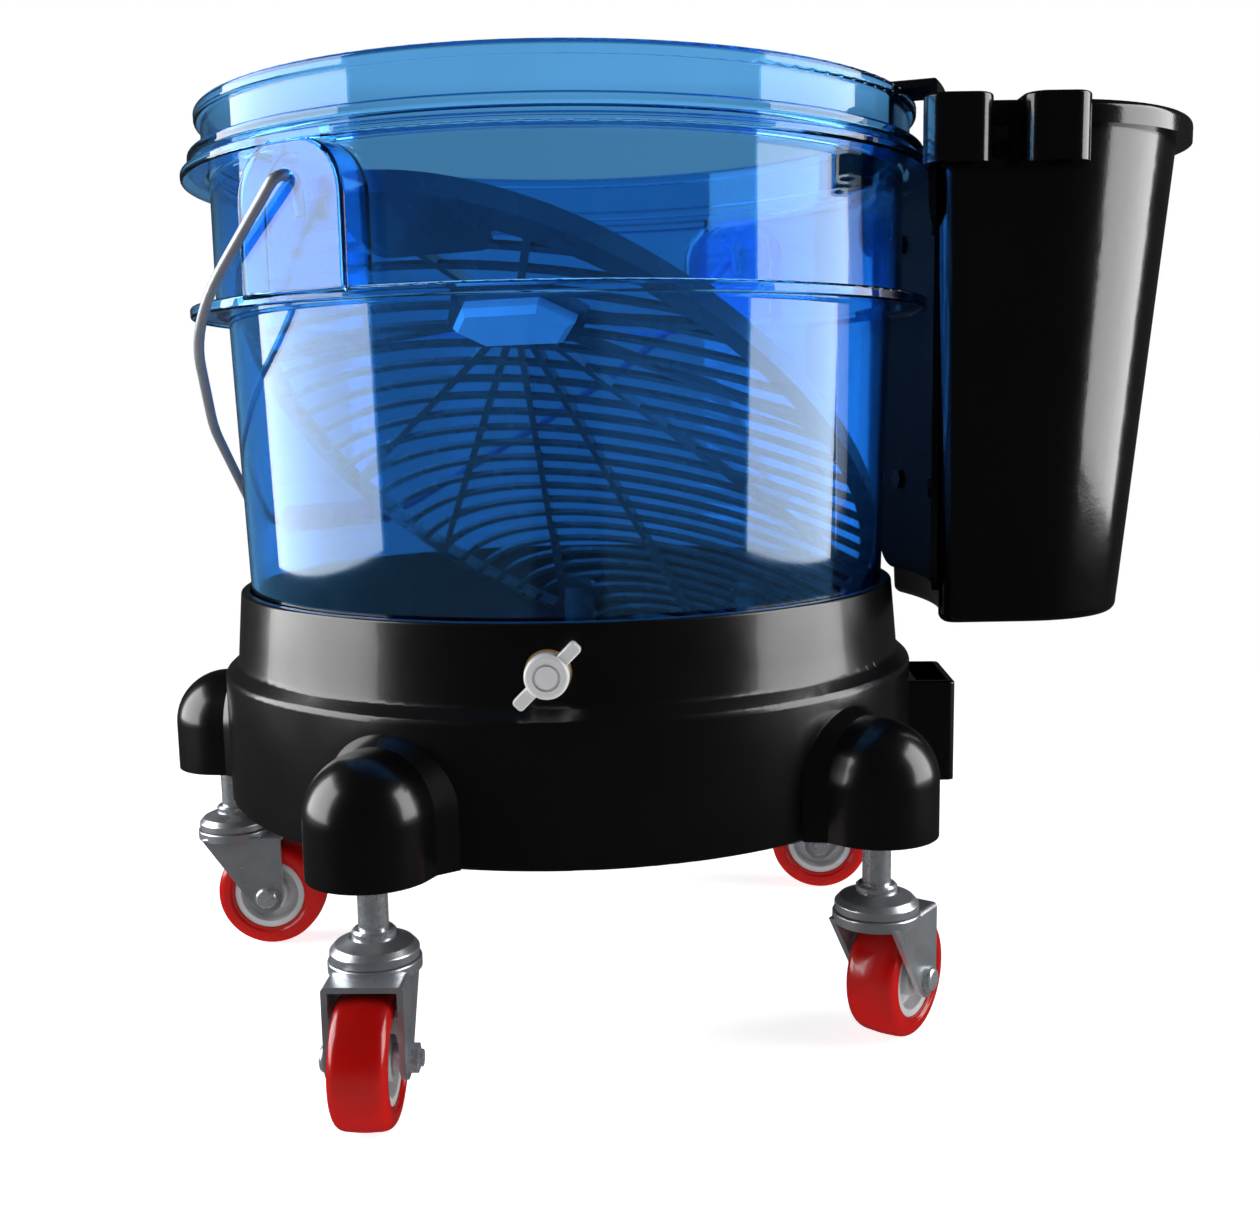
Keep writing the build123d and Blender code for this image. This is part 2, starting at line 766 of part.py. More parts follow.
def badge_outline(margin=0.0):
    """Long six-sided outline of the badge at the screen's hub."""
    half = badge_length / 2 + margin
    high = badge_width / 2 + margin
    nose = half - badge_bevel
    face = section((-half, 0), (-nose, high), (nose, high), (half, 0), (nose, -high), (-nose, -high))
    return Pos(*screen_hub) * face


def screen_slats():
    """Slats on arcs about a point down the slope."""
    slope_half = pail_r(pail_top_z) / cos(radians(screen_tilt))
    slat_count = int((slope_half - screen_slat_centre[1]) / screen_slat_pitch)
    slats = []
    for k in range(1, slat_count + 1):
        r = k * screen_slat_pitch
        slats.append(Pos(*screen_slat_centre) * (Circle(r + screen_slat / 2) - Circle(r - screen_slat / 2)))
    return slats


def screen_ribs():
    """Spokes from the hub, a plain panel, the hub's pad and the pads of the legs."""
    reach = 4 * pail_base_r
    ribs = []
    for bearing in screen_spoke_bearings:
        spoke = Pos(reach / 2, 0) * Rectangle(reach, screen_spoke)
        ribs.append(Pos(*screen_hub) * Rot(0, 0, bearing) * spoke)
    ribs.append(Pos(*screen_panel) * RectangleRounded(*screen_panel_size, screen_panel_r))
    ribs.append(badge_outline(screen_hub_margin))
    for side in (-1, 1):
        ribs.append(Pos(side * screen_leg_spread, -screen_leg_drop) * Circle(screen_leg_r + screen_slat))
    return ribs


def wash_screen():
    """Sloping grille of thin slats and deeper ribs in an outer band, with two legs to the pail's floor."""
    plane = screen_plane()
    sheet = Rectangle(4 * pail_base_r, 4 * pail_base_r)
    screen = extrude(plane * sheet, screen_band_depth) & screen_space()
    inner_r = pail_r(plane.origin.Z) - pail_wall - screen_wall_gap - screen_band
    window = Ellipse(inner_r, inner_r / cos(radians(screen_tilt)))
    between_ribs = window - screen_ribs()
    openings = between_ribs - screen_slats()
    screen -= extrude(plane * openings, screen_band_depth, both=True)
    screen -= extrude(plane.offset(screen_slat_depth) * between_ribs, screen_band_depth)
    screen -= extrude(plane.offset(screen_spoke_depth) * window, screen_band_depth)
    for side in (-1, 1):
        foot = Vector(side * screen_leg_spread, -screen_leg_drop, screen_slat_depth)
        spot = plane.from_local_coords(foot)
        screen += post(screen_leg_r, pail_floor_z, spot.Z, spot.X, spot.Y)
    return screen


def screen_badge():
    """Plain bevelled plate on the underside of the screen's hub."""
    under = screen_plane()
    plate = extrude(under * badge_outline(), -badge_thickness)
    rim = plate.edges().filter_by(GeomType.LINE).group_by(lambda e: under.to_local_coords(e @ 0.5).Z)[0]
    return chamfer(rim, badge_chamfer)


# Side caddy, in its radial frame


def tub_plan(inset):
    """Plan of the tub's outer walls before the pail's curve is cut from it."""
    reach = tub_reach - inset
    plan = Pos(reach / 2, 0) * Rectangle(reach, 2 * (tub_half_width - inset))
    return fillet(plan.vertices().group_by(Axis.X)[-1], tub_outer_corner_r - inset)


def tub_form(shrink, z0):
    """Tapered tub shape from a height up to its top, drawn in from the outer surface by an even amount."""
    plans = []
    for z in (z0, tub_top_z):
        inset = shrink + (tub_top_z - z) * tan(radians(tub_taper))
        plans.append(Plane.XY.offset(z) * tub_plan(inset))
    form = loft(plans, ruled=True) - post(tub_inner_r + shrink, 0, 2 * tub_top_z)
    corners = form.edges().filter_by(lambda edge: abs((edge % 0.5).Z) > 0.5).group_by(Axis.X)[0]
    return fillet(corners, tub_inner_corner_r - shrink)


def rack_notch():
    """Room in the tub's lip for the tool rack."""
    half = rack_length / 2 + fit_gap
    return block(rack_x - half, rack_x + half, -2 * tub_half_width, 0, 0, 2 * tub_top_z)


def tub_lip():
    """Rolled lip round the tub's outer sides, with a gap for the tool rack."""
    lip = extrude(Plane.XY.offset(tub_top_z - tub_lip_height) * tub_plan(-tub_lip_out), tub_lip_height)
    lip = fillet(lip.faces().sort_by(Axis.Z)[-1].edges(), tub_lip_round)
    lip -= post(tub_inner_r, 0, 2 * tub_top_z)
    return lip - rack_notch()


def screw_places():
    """Bearing offset and height of each screw that holds the tub to its hanger."""
    offsets = (-caddy_screw_half_angle, caddy_screw_half_angle)
    return [(offset, tub_top_z - drop) for drop in caddy_screw_drops for offset in offsets]


def caddy_tub():
    """Tapered bin that follows the pail's curve, with screw holes in its inner wall."""
    tub = tub_form(0.0, tub_bottom_z)
    tub = fillet(tub.faces().sort_by(Axis.Z)[0].edges(), tub_foot_round)
    tub += tub_lip()
    tub -= tub_form(tub_wall, tub_bottom_z + tub_floor)
    for offset, z in screw_places():
        tub -= Rot(0, 0, offset) * along_x(caddy_screw_r + fit_gap, 0, tub_inner_r + 2 * tub_wall, z)
    for z in rack_screw_heights():
        tub -= along_y(rack_screw_r + fit_gap, -2 * tub_half_width, 0, rack_x, z)
    return tub


def hanger_hook():
    """One strap over the pail's rim, in its own radial frame."""
    tab_r = band_r - pail_wall - seat_gap
    bridge_z = pail_top_z + seat_gap
    bridge_top = bridge_z + hook_bridge
    tab = strip(tab_r - hook_tab_sheet, tab_r, bridge_z - hook_tab, bridge_top)
    bridge = strip(tab_r - hook_tab_sheet, hanger_outer_r, bridge_z, bridge_top)
    drop = strip(hanger_inner_r, hanger_outer_r, hanger_top_z - hook_width, bridge_top)
    profile = tab + bridge + drop
    outer = [(tab_r - hook_tab_sheet, bridge_top), (hanger_outer_r, bridge_top)]
    profile = fillet(nearest_corners(profile, outer), hook_round)
    half = hook_width / 2
    return turned(profile) & block(0, 2 * hanger_outer_r, -half, half, 0, 2 * pail_top_z)


def caddy_hanger():
    """Curved plate behind the tub, with two hooks over the pail's rim."""
    plate = turned(strip(hanger_inner_r, hanger_outer_r, hanger_top_z - hanger_height, hanger_top_z))
    front = Sketch()
    plate_size = (hanger_half_angle, hanger_height)
    band_size = (hanger_band_half_angle, hanger_band_height)
    for half_angle, height in (plate_size, band_size):
        width = 2 * hanger_outer_r * sin(radians(half_angle))
        front += Pos(0, hanger_top_z - height / 2) * RectangleRounded(width, height, hanger_corner_r)
    plate &= extrude(Plane.YZ * front, 2 * hanger_outer_r)
    for side in (-1, 1):
        plate += Rot(0, 0, side * hook_half_angle) * hanger_hook()
    for offset, z in screw_places():
        hole = along_x(caddy_screw_r + fit_gap, hanger_inner_r / 2, 2 * hanger_outer_r, z)
        plate -= Rot(0, 0, offset) * hole
    return plate


def caddy_nut_face():
    """Distance from the axis at which a nut's flat face clears the hanger's curve."""
    return sqrt(hanger_inner_r**2 - caddy_nut_width**2 / 3) - fit_gap


def caddy_screws():
    """Pan-head screws from inside the tub through its hanger."""
    head_x = tub_inner_r + tub_wall + fit_gap
    head = along_x(caddy_screw_head_r, head_x, head_x + caddy_screw_head_height)
    head = fillet(head.edges().sort_by(Axis.X)[-1], caddy_screw_head_round)
    screw = head + along_x(caddy_screw_r, caddy_nut_face() - caddy_nut_height, head_x)
    return [Rot(0, 0, offset) * Pos(0, 0, z) * screw for offset, z in screw_places()]


def caddy_nuts():
    """Thin hexagonal nuts in the gap between the hanger and the pail."""
    face = caddy_nut_face()
    nut = hexagon_bar(caddy_nut_width, face - caddy_nut_height, face)
    nut -= along_x(caddy_screw_r + fit_gap, 0, 2 * face)
    return [Rot(0, 0, offset) * Pos(0, 0, z) * nut for offset, z in screw_places()]


def rack_screw_heights():
    """Heights of the tool rack's two screws."""
    middle = tub_top_z - rack_height / 2
    return [middle - rack_screw_spacing / 2, middle + rack_screw_spacing / 2]


def tool_rack():
    """Back strip and two bored lobes on the tub's near side wall."""
    top = tub_top_z
    bottom = top - rack_height
    half = rack_length / 2
    front_y = rack_face_y - rack_lobe_depth
    rack = block(rack_x - half, rack_x + half, rack_face_y, tub_wall - tub_half_width, bottom, top)
    lobe_places = [rack_x - rack_lobe_spacing / 2, rack_x + rack_lobe_spacing / 2]
    for x in lobe_places:
        lobe = block(x - rack_lobe_width / 2, x + rack_lobe_width / 2, front_y, rack_face_y, bottom, top)
        rack += fillet(lobe.edges().filter_by(Axis.Z).group_by(Axis.Y)[0], rack_lobe_r)
    rack = fillet(rack.faces().sort_by(Axis.Z)[-1].outer_wire().edges(), rack_edge_r)
    for x in lobe_places:
        rack -= post(rack_bore_r, 0, 2 * top, x, rack_face_y - rack_lobe_depth / 2)
    for z in rack_screw_heights():
        rack -= along_y(rack_screw_r + fit_gap, -2 * tub_half_width, 0, rack_x, z)
    return rack - tub_form(-fit_gap, tub_bottom_z) - post(tub_inner_r, 0, 2 * top)


def rack_screws():
    """Screws between the lobes, into the tub's wall."""
    head = along_y(rack_screw_head_r, rack_face_y - rack_screw_head_height, rack_face_y)
    head = fillet(head.edges().sort_by(Axis.Y)[0], rack_screw_head_round)
    screw = head + along_y(rack_screw_r, rack_face_y, rack_face_y + rack_screw_length)
    return [Pos(rack_x, 0, z) * screw for z in rack_screw_heights()]


# Write each named piece


def save(name, *solids):
    """Write the solids of one named piece in place."""
    shape = solids[0] if len(solids) == 1 else Compound(children=list(solids))
    export_step(shape, f"parts/{name}.step")


os.makedirs("parts", exist_ok=True)

save("dolly_shell", dolly_shell())
balls = []
for k in range(castor_count):
    place = castor_place(k)
    save(f"stem_sleeve_{k + 1}", place * stem_sleeve())
    save(f"castor_stem_{k + 1}", place * castor_stem())
    save(f"race_cap_{k + 1}", place * race_cap())
    save(f"castor_fork_{k + 1}", place * castor_fork())
    save(f"castor_axle_{k + 1}", *[place * solid for solid in castor_axle()])
    save(f"wheel_bush_{k + 1}", place * wheel_bush())
    save(f"wheel_hub_{k + 1}", place * wheel_hub())
    save(f"wheel_tyre_{k + 1}", place * wheel_tyre())
    balls += [place * ball for ball in race_balls()]
save("race_balls", *balls)

clamp_place = to_bearing(clamp_bearing)
save("clamp_bush", clamp_place * clamp_bush())
save("clamp_tip", clamp_place * clamp_tip())
save("clamp_stud", clamp_place * clamp_stud())
save("clamp_knob", clamp_place * clamp_knob())

save("pail_shell", pail_shell())
save("bail_wire", bail_wire())
save("bail_grip", bail_grip())
save("wash_screen", wash_screen())
save("screen_badge", screen_badge())

caddy_place = to_bearing(caddy_bearing)
save("caddy_hanger", caddy_place * caddy_hanger())
save("caddy_tub", caddy_place * caddy_tub())
save("tool_rack", caddy_place * tool_rack())
save("caddy_screws", *[caddy_place * screw for screw in caddy_screws()])
save("caddy_nuts", *[caddy_place * nut for nut in caddy_nuts()])
save("rack_screws", *[caddy_place * screw for screw in rack_screws()])
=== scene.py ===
import json

import bpy
import numpy as np
from bpy.props import FloatProperty, FloatVectorProperty, PointerProperty
from mathutils import Matrix, Vector


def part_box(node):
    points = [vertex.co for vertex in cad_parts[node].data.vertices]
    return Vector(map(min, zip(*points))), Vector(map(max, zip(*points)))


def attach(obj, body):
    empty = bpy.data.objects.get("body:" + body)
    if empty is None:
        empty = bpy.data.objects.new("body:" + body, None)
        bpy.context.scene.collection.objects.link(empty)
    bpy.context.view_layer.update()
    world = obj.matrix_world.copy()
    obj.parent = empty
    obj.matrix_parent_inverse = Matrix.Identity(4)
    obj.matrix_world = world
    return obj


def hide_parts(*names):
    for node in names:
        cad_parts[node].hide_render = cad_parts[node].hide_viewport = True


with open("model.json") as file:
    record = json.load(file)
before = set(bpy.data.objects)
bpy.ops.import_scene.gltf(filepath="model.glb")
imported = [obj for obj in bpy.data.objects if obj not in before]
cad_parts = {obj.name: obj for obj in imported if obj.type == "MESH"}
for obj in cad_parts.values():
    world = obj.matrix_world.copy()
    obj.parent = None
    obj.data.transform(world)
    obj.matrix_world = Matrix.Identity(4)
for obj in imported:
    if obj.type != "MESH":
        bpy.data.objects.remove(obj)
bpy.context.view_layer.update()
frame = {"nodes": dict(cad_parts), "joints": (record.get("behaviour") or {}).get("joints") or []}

bl_info = {
    "name": "Wheeled wash pail",
    "version": (1, 0, 0),
    "blender": (4, 5, 0),
    "location": "3D View > Sidebar > Wash pail",
    "description": "Dresses a wash pail on a castor dolly, with its bail, wash screen and side caddy",
    "category": "Object",
}

joints = {joint["name"]: joint for joint in frame["joints"]}
castor_numbers = range(1, 6)
millimetre = 0.001
sharp_angle = 50.0  # degrees that an edge of a new piece may turn by and still look smooth
join_decimals = 6  # decimals of a metre in which two points of a CAD node must differ


# Surfaces worked out as whole arrays


def rounded_profile(corners, rounds, steps=6):
    """Closed profile with round corners.

    Each corner P is swapped for the parabola (1-t)^2 A + 2t(1-t) P + t^2 B, where A and B lie on
    the two sides that meet there, one round away from P.
    """
    corner = np.asarray(corners, float)
    before = np.roll(corner, 1, axis=0) - corner
    after = np.roll(corner, -1, axis=0) - corner
    reach = np.asarray(rounds, float)[:, None]
    start = corner + before / np.linalg.norm(before, axis=1, keepdims=True) * reach
    end = corner + after / np.linalg.norm(after, axis=1, keepdims=True) * reach
    t = np.linspace(0.0, 1.0, steps)[None, :, None]
    arcs = (1 - t) ** 2 * start[:, None] + 2 * t * (1 - t) * corner[:, None] + t**2 * end[:, None]
    return arcs.reshape(-1, 2)


def side_vectors(axis):
    """Two unit vectors square to an axis and to each other."""
    nearly_upright = 0.9
    along = np.asarray(axis, float)
    helper = np.array([0.0, 0.0, 1.0]) if abs(along[2]) < nearly_upright else np.array([1.0, 0.0, 0.0])
    across = np.cross(helper, along)
    across /= np.linalg.norm(across)
    return across, np.cross(along, across)


def ring_quads(rows, columns, closed_rows):
    """Corner numbers of a grid's quads: the last column joins the first, and the last row too if asked."""
    row = np.arange(rows if closed_rows else rows - 1)[:, None]
    column = np.arange(columns)[None, :]
    next_row = (row + 1) % rows
    next_column = (column + 1) % columns
    quads = [row * columns + column, row * columns + next_column]
    quads += [next_row * columns + next_column, next_row * columns + column]
    return np.stack(np.broadcast_arrays(*quads), axis=-1).reshape(-1, 4)


def turned_surface(profile, centre, axis, turns):
    """Closed profile of radius r(s) and height h(s) turned about an axis.

    The point at (s, t) is centre + h(s) axis + r(s) (cos t u + sin t v), with u and v square to the axis.
    """
    across, up = side_vectors(axis)
    angle = np.linspace(0.0, 2 * np.pi, turns, endpoint=False)[None, :, None]
    radius = profile[:, 0, None, None]
    height = profile[:, 1, None, None]
    spin = np.cos(angle) * across + np.sin(angle) * up
    points = np.asarray(centre, float) + height * np.asarray(axis, float) + radius * spin
    return points.reshape(-1, 3), ring_quads(len(profile), turns, True)


def outward(points, quads):
    """Quads turned so that the volume they enclose is positive."""
    corner = points[quads]
    first = np.einsum("ij,ij->i", corner[:, 0], np.cross(corner[:, 1], corner[:, 2])).sum()
    second = np.einsum("ij,ij->i", corner[:, 0], np.cross(corner[:, 2], corner[:, 3])).sum()
    return quads if first + second > 0 else quads[:, ::-1]


def add_piece(name, points, faces, body, finish, replaced):
    """Smooth mesh that rides on a body and stands for a CAD node, with its sharper edges kept."""
    mesh = bpy.data.meshes.new(name)
    mesh.from_pydata(points, [], faces)
    mesh.polygons.foreach_set("use_smooth", np.ones(len(mesh.polygons), bool))
    mesh.set_sharp_from_angle(angle=np.radians(sharp_angle))
    mesh.materials.append(finish)
    piece = bpy.data.objects.new(name, mesh)
    bpy.context.scene.collection.objects.link(piece)
    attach(piece, body)
    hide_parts(replaced)
    return piece


def joined_triangles(node):
    """Points, triangles and corner normals of a CAD node.

    Points that agree to a thousandth of a millimetre are made one, and triangles that this closes are left
    out.
    """
    mesh = frame["nodes"][node].data
    corners = np.empty(len(mesh.vertices) * 3)
    mesh.vertices.foreach_get("co", corners)
    corners = corners.reshape(-1, 3)
    loops = np.empty(len(mesh.loops), np.int64)
    mesh.loops.foreach_get("vertex_index", loops)
    normals = np.empty(len(mesh.loops) * 3)
    mesh.corner_normals.foreach_get("vector", normals)
    _, first, place = np.unique(corners.round(join_decimals), axis=0, return_index=True, return_inverse=True)
    triangles = place.reshape(-1)[loops].reshape(-1, 3)
    whole = (triangles != np.roll(triangles, 1, axis=1)).all(axis=1)
    return corners[first], triangles[whole], normals.reshape(-1, 3, 3)[whole]


# Shader sums


class Term:
    """A shader socket that can be used in a Python sum."""

    def __init__(self, shading, socket):
        self.shading = shading
        self.socket = socket

    def join(self, operation, first, second):
        """Math node of two terms or numbers."""
        node = self.shading.node("ShaderNodeMath", {"operation": operation}, {0: first, 1: second})
        return Term(self.shading, node.outputs[0])

    def __add__(self, other):
        return self.join("ADD", self, other)

    def __radd__(self, other):
        return self.join("ADD", other, self)

    def __sub__(self, other):
        return self.join("SUBTRACT", self, other)

    def __rsub__(self, other):
        return self.join("SUBTRACT", other, self)

    def __mul__(self, other):
        return self.join("MULTIPLY", self, other)

    def __rmul__(self, other):
        return self.join("MULTIPLY", other, self)

    def __abs__(self):
        return self.join("ABSOLUTE", self, 0.0)


class Shading:
    """The node tree of a material or a world, emptied, with one method that adds its nodes."""

    def __init__(self, owner):
        owner.use_nodes = True
        self.tree = owner.node_tree
        self.tree.nodes.clear()

    def node(self, kind, settings, inputs):
        """Add a node of any kind: first its settings, then the values or links of its sockets."""
        made = self.tree.nodes.new(kind)
        for key, value in settings.items():
            setattr(made, key, value)
        for key, value in inputs.items():
            self.feed(made.inputs[key], value)
        return made

    def feed(self, socket, value):
        """Link a term or a socket to a socket, or set its plain value."""
        if isinstance(value, Term):
            value = value.socket
        if isinstance(value, bpy.types.NodeSocket):
            self.tree.links.new(value, socket)
        elif hasattr(value, "__len__") and len(value) == 3 and len(socket.default_value) == 4:
            socket.default_value = (*value, 1.0)
        else:
            socket.default_value = value

    def spread(self, term, low, high, first=0.0, last=1.0):
        """A term's range from low to high drawn out from a first to a last value and held there."""
        inputs = {"Value": term, "From Min": low, "From Max": high, "To Min": first, "To Max": last}
        return Term(self, self.node("ShaderNodeMapRange", {"clamp": True}, inputs).outputs["Result"])

    def either(self, choice, first, second):
        """Shader that is the first where a choice is 0 and the second where it is 1."""
        sides = {0: choice, 1: first.outputs[0], 2: second.outputs[0]}
        return self.node("ShaderNodeMixShader", {}, sides)


class Finish(Shading):
    """One material, with its surface shader and the terms that feed it."""

    def __init__(self, name, **constants):
        self.material = bpy.data.materials.new(name)
        super().__init__(self.material)
        self.shader = self.node("ShaderNodeBsdfPrincipled", {}, constants)
        self.output = self.node("ShaderNodeOutputMaterial", {}, {"Surface": self.shader.outputs[0]})
        self.place = self.node("ShaderNodeTexCoord", {}, {}).outputs["Object"]

    def noise(self, scale, detail=2.0, stretch=None):
        """Smooth noise of 0 to 1 on the piece's own place, scaled per metre."""
        place = self.place
        if stretch:
            place = self.node("ShaderNodeMapping", {}, {"Vector": place, "Scale": stretch}).outputs[0]
        inputs = {"Vector": place, "Scale": scale, "Detail": detail}
        return Term(self, self.node("ShaderNodeTexNoise", {}, inputs).outputs["Fac"])

    def tone(self, share, colour, dark, light):
        """Base colour that goes with a share from a dark to a light factor of one colour."""
        # A Mix node takes its two colours in sockets 6 and 7 and gives the mixed one in output 2
        inputs = {0: share, 6: shade(colour, dark), 7: shade(colour, light)}
        mixed = self.node("ShaderNodeMix", {"data_type": "RGBA"}, inputs)
        self.feed(self.shader.inputs["Base Color"], mixed.outputs[2])

    def roughness(self, term):
        """Blur of the gloss."""
        self.feed(self.shader.inputs["Roughness"], term)

    def relief(self, term, depth):
        """Raise the surface by a term times a depth in metres."""
        bump = self.node("ShaderNodeBump", {}, {"Height": term, "Distance": depth, "Strength": 1.0})
        self.feed(self.shader.inputs["Normal"], bump.outputs[0])

    def lamps_through(self, colour):
        """Let the lamps' own rays pass each face with a tint, so that they light what is behind it."""
        path = self.node("ShaderNodeLightPath", {}, {})
        way = self.node("ShaderNodeBsdfTransparent", {}, {"Color": colour})
        whole = self.either(path.outputs["Is Shadow Ray"], self.shader, way)
        self.feed(self.output.inputs["Surface"], whole.outputs[0])


def dress(finish, *nodes):
    """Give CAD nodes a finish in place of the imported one."""
    for node in nodes:
        for slot in frame["nodes"][node].material_slots:
            slot.material = finish


def per_castor(stem):
    """Names of one kind of node on all the castors."""
    return [f"{stem}_{number}" for number in castor_numbers]


def shade(colour, factor):
    """A colour made lighter or darker by a factor."""
    return tuple(min(1.0, part * factor) for part in colour)


# Finishes


def clear_blue(name, look):
    """Clear tinted plastic: the tint drifts a little with the flow of the mould, and the gloss is uneven."""
    finish = Finish(name, **{"Transmission Weight": 1.0, "IOR": look.index})
    drift = finish.noise(scale=9.0, detail=3.0, stretch=(1.0, 1.0, 0.25))
    finish.tone(finish.spread(drift, low=0.3, high=0.7), tuple(look.tint), dark=0.93, light=1.07)
    finish.roughness(look.roughness + 0.03 * finish.noise(scale=60.0, detail=4.0))
    finish.lamps_through(tuple(look.lamp_tint))
    return finish.material


def moulded_black(name, colour, roughness, coat, gloss=0.5):
    """Black moulding: faint grey bloom, uneven gloss and a very fine orange-peel surface."""
    finish = Finish(name, **{"Specular IOR Level": gloss, "Coat Weight": coat, "Coat Roughness": 0.06})
    bloom = finish.noise(scale=14.0, detail=5.0)
    finish.tone(finish.spread(bloom, low=0.35, high=0.75), colour, dark=1.0, light=1.6)
    finish.roughness(roughness + 0.10 * finish.noise(scale=45.0, detail=4.0))
    finish.relief(finish.noise(scale=900.0, detail=1.0), depth=0.00002)
    return finish.material


def bright_plate(name, colour, roughness, metal=1.0):
    """Bright plating: cloudy gloss with fine draw marks along the height, over a share of pale bloom."""
    finish = Finish(name, Metallic=metal)
    cloud = finish.noise(scale=120.0, detail=4.0)
    finish.tone(cloud, colour, dark=0.82, light=1.08)
    marks = finish.noise(scale=500.0, detail=3.0, stretch=(1.0, 1.0, 0.15))
    finish.roughness(roughness + 0.10 * cloud + 0.05 * marks)
    finish.relief(marks, depth=0.000012)
    return finish.material


def zinc_plate(name, colour):
    """Zinc plating: soft spangle patches that differ in tone and gloss, over a share of pale bloom."""
    finish = Finish(name, Metallic=0.78)
    patches = finish.node("ShaderNodeTexVoronoi", {}, {"Vector": finish.place, "Scale": 420.0})
    parts = finish.node("ShaderNodeSeparateColor", {}, {0: patches.outputs["Color"]})
    patch = Term(finish, parts.outputs[0])
    finish.tone(patch, colour, dark=0.95, light=1.05)
    finish.roughness(0.24 + 0.05 * patch)
    return finish.material


def cast_tread(name, colour):
    """Cast polyurethane: warm red that deepens in clouds, with a wet gloss and rolling scuffs."""
    depth = {"Subsurface Weight": 0.06, "Subsurface Scale": 0.004}
    finish = Finish(name, **depth, **{"Coat Weight": 0.3, "Coat Roughness": 0.08})
    finish.tone(finish.noise(scale=70.0, detail=4.0), colour, dark=0.75, light=1.15)
    finish.roughness(0.18 + 0.08 * finish.noise(scale=260.0, detail=3.0))
    finish.relief(finish.noise(scale=700.0, detail=2.0), depth=0.00002)
    return finish.material


def moulded_part(name, colour, roughness, coat=0.0):
    """Plain moulding: slight drift in tone and a fine spark-eroded grain."""
    finish = Finish(name, **{"Coat Weight": coat, "Coat Roughness": 0.1})
    finish.tone(finish.noise(scale=90.0, detail=4.0), colour, dark=0.88, light=1.06)
    finish.roughness(roughness + 0.12 * finish.noise(scale=300.0, detail=3.0))
    finish.relief(finish.noise(scale=1400.0, detail=2.0), depth=0.00003)
    return finish.material


# Settings that a user would change


class PailLook(bpy.types.PropertyGroup):
    """Clear pail, its bail and its grip."""

    tint: FloatVectorProperty(
        name="Tint", description="Colour that light takes on through one wall", subtype="COLOR",
        default=(0.12, 0.45, 0.90), min=0.0, max=1.0)
    lamp_tint: FloatVectorProperty(
        name="Lamp tint", description="Colour that a lamp's light keeps through each face of the wall",
        subtype="COLOR", default=(0.60, 0.72, 0.85), min=0.0, max=1.0)
    roughness: FloatProperty(
        name="Roughness", description="Haze of the pail's wall", subtype="FACTOR",
        default=0.02, min=0.0, max=1.0)
    index: FloatProperty(
        name="Index", description="How strongly the wall bends and mirrors light",
        default=1.49, min=1.0, max=2.0)
    bead: FloatProperty(
        name="Bead", description="Depth of the bead on the pail's rim", unit="LENGTH", default=0.0047)
    bead_round: FloatProperty(
        name="Bead round", description="Radius of the bead's edges", unit="LENGTH", default=0.0014)
    wire: FloatVectorProperty(
        name="Wire", description="Colour of the bail's plating", subtype="COLOR",
        default=(0.42, 0.44, 0.47), min=0.0, max=1.0)
    grip: FloatVectorProperty(
        name="Grip", description="Colour of the bail's grip", subtype="COLOR",
        default=(0.012, 0.07, 0.28), min=0.0, max=1.0)


class ScreenLook(bpy.types.PropertyGroup):
    """Wash screen inside the pail and its plain badge."""

    bars: FloatVectorProperty(
        name="Bars", description="Colour of the screen", subtype="COLOR",
        default=(0.09, 0.095, 0.10), min=0.0, max=1.0)
    badge: FloatVectorProperty(
        name="Badge", description="Colour of the plain plate at the screen's hub", subtype="COLOR",
        default=(0.90, 0.90, 0.91), min=0.0, max=1.0)


class DollyLook(bpy.types.PropertyGroup):
    """Dolly moulding."""

    moulding: FloatVectorProperty(
        name="Moulding", description="Colour of the dolly", subtype="COLOR",
        default=(0.002, 0.002, 0.0022), min=0.0, max=1.0)
    roughness: FloatProperty(
        name="Roughness", description="Blur of the dolly's gloss", subtype="FACTOR",
        default=0.19, min=0.0, max=1.0)


class CastorLook(bpy.types.PropertyGroup):
    """Castor wheels and their steel."""

    tread: FloatVectorProperty(
        name="Tread", description="Colour of the tyres", subtype="COLOR",
        default=(0.45, 0.003, 0.0015), min=0.0, max=1.0)
    core: FloatVectorProperty(
        name="Core", description="Colour of the wheel cores", subtype="COLOR",
        default=(0.46, 0.46, 0.47), min=0.0, max=1.0)
    steel: FloatVectorProperty(
        name="Steel", description="Colour of the forks and race caps", subtype="COLOR",
        default=(0.62, 0.65, 0.69), min=0.0, max=1.0)
    sleeve: FloatVectorProperty(
        name="Sleeve", description="Colour of the sleeves that grip the stems", subtype="COLOR",
        default=(0.02, 0.02, 0.021), min=0.0, max=1.0)
    tyre_lip: FloatProperty(
        name="Tyre lip", description="Depth of the step in a tyre's side next to its core", unit="LENGTH",
        default=0.0009, min=0.0, max=0.002)
    tyre_crown: FloatProperty(
        name="Tyre crown", description="How much lower a tyre's shoulders are than its middle", unit="LENGTH",
        default=0.0006, min=0.0, max=0.002)


